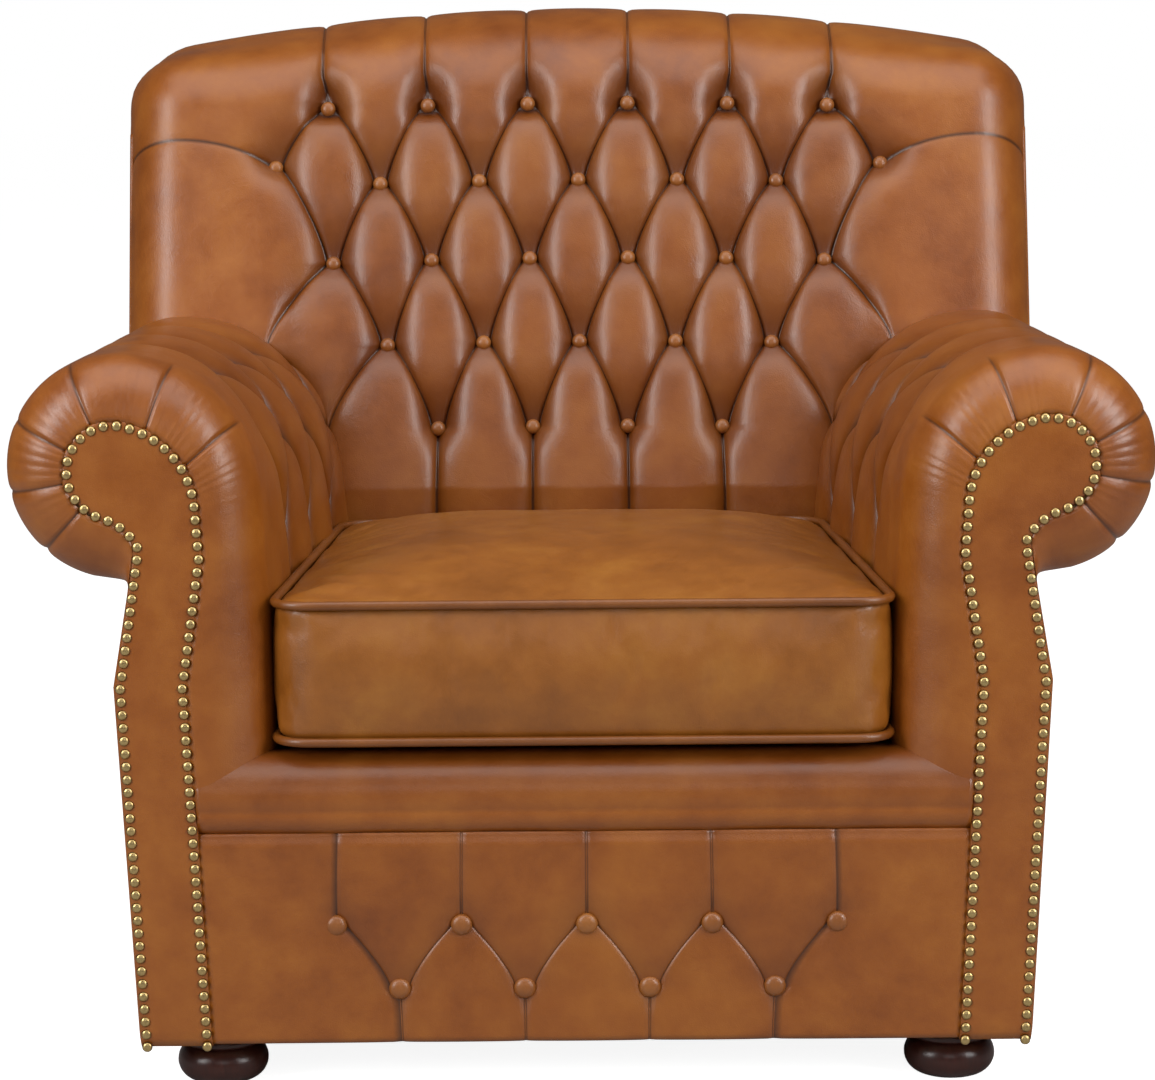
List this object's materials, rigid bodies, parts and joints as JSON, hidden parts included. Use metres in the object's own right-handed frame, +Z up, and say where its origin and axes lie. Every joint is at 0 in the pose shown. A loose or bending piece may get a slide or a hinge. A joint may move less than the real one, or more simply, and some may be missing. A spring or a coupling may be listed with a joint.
{
  "type": "armchair",
  "caption": "Deep-buttoned leather armchair with rolled arms and back, scroll facings edged with domed nails, a loose piped seat cushion, a buttoned border and bun feet.",
  "frame": {"origin": "on the floor under the middle of the chair's bounding box", "axes": "+Z up, +X to the right as seen from the front, the chair faces -Y"},
  "size_m": [1.028, 0.899, 0.9719],
  "materials": {
    "antique_brass": "antique brass, domed",
    "button_leather": "tan leather over a metal form",
    "cover_leather": "tan pull-up leather, mottled, semi-gloss",
    "cushion_leather": "tan pull-up leather, lighter where sat on, semi-gloss",
    "foot_mahogany": "turned mahogany, polished dark red brown",
    "frame_timber": "kiln-dried beech, sawn and planed",
    "padding": "upholstery foam and wadding",
    "piping_leather": "tan leather strip round a cord",
    "platform_cloth": "black woven cloth and jute",
    "spring_steel": "oiled spring wire",
    "zinc_steel": "zinc plated",
    "zip_tape": "brown zip tape and coil"
  },
  "bodies": {
    "chair": {"back_buttons": "button_leather", "back_pad": "padding", "back_stay_rail": "frame_timber", "back_webbing": "platform_cloth", "block_screws": "zinc_steel", "border_buttons": "button_leather", "border_cover": "cover_leather", "border_pad": "padding", "bun_feet": "foot_mahogany", "corner_blocks": "frame_timber", "crest_rail": "frame_timber", "dust_cover": "platform_cloth", "foot_bolts": "zinc_steel", "front_seat_rail": "frame_timber", "inside_back_cover": "cover_leather", "left_arm_buttons": "button_leather", "left_arm_cover": "cover_leather", "left_arm_pad": "padding", "left_arm_rail": "frame_timber", "left_arm_rear_panel": "cover_leather", "left_arm_tacking_rail": "frame_timber", "left_back_border": "cover_leather", "left_back_post": "frame_timber", "left_back_wing_board": "frame_timber", "left_facing_nails": "antique_brass", "left_facing_panel": "cover_leather", "left_front_post": "frame_timber", "left_outside_arm": "cover_leather", "left_scroll_board": "frame_timber", "left_side_rail": "frame_timber", "lip_cover": "cover_leather", "lip_pad": "padding", "outside_back": "cover_leather", "rear_seat_rail": "frame_timber", "right_arm_buttons": "button_leather", "right_arm_cover": "cover_leather", "right_arm_pad": "padding", "right_arm_rail": "frame_timber", "right_arm_rear_panel": "cover_leather", "right_arm_tacking_rail": "frame_timber", "right_back_border": "cover_leather", "right_back_post": "frame_timber", "right_back_wing_board": "frame_timber", "right_facing_nails": "antique_brass", "right_facing_panel": "cover_leather", "right_front_post": "frame_timber", "right_outside_arm": "cover_leather", "right_scroll_board": "frame_timber", "right_side_rail": "frame_timber", "seat_deck_cloth": "platform_cloth", "seat_deck_pad": "padding", "seat_hessian": "platform_cloth", "seat_springs": "spring_steel", "spring_clips": "spring_steel"},
    "seat_cushion": {"cushion_bottom_panel": "cushion_leather", "cushion_boxing": "cushion_leather", "cushion_core": "padding", "cushion_piping": "piping_leather", "cushion_top_panel": "cushion_leather", "cushion_zip": "zip_tape"}
  },
  "joints": [
    {"name": "cushion_lift", "type": "slide", "parent": "chair", "child": "seat_cushion", "axis": [0, 0, 1], "range_m": [0, 0.4]}
  ]
}
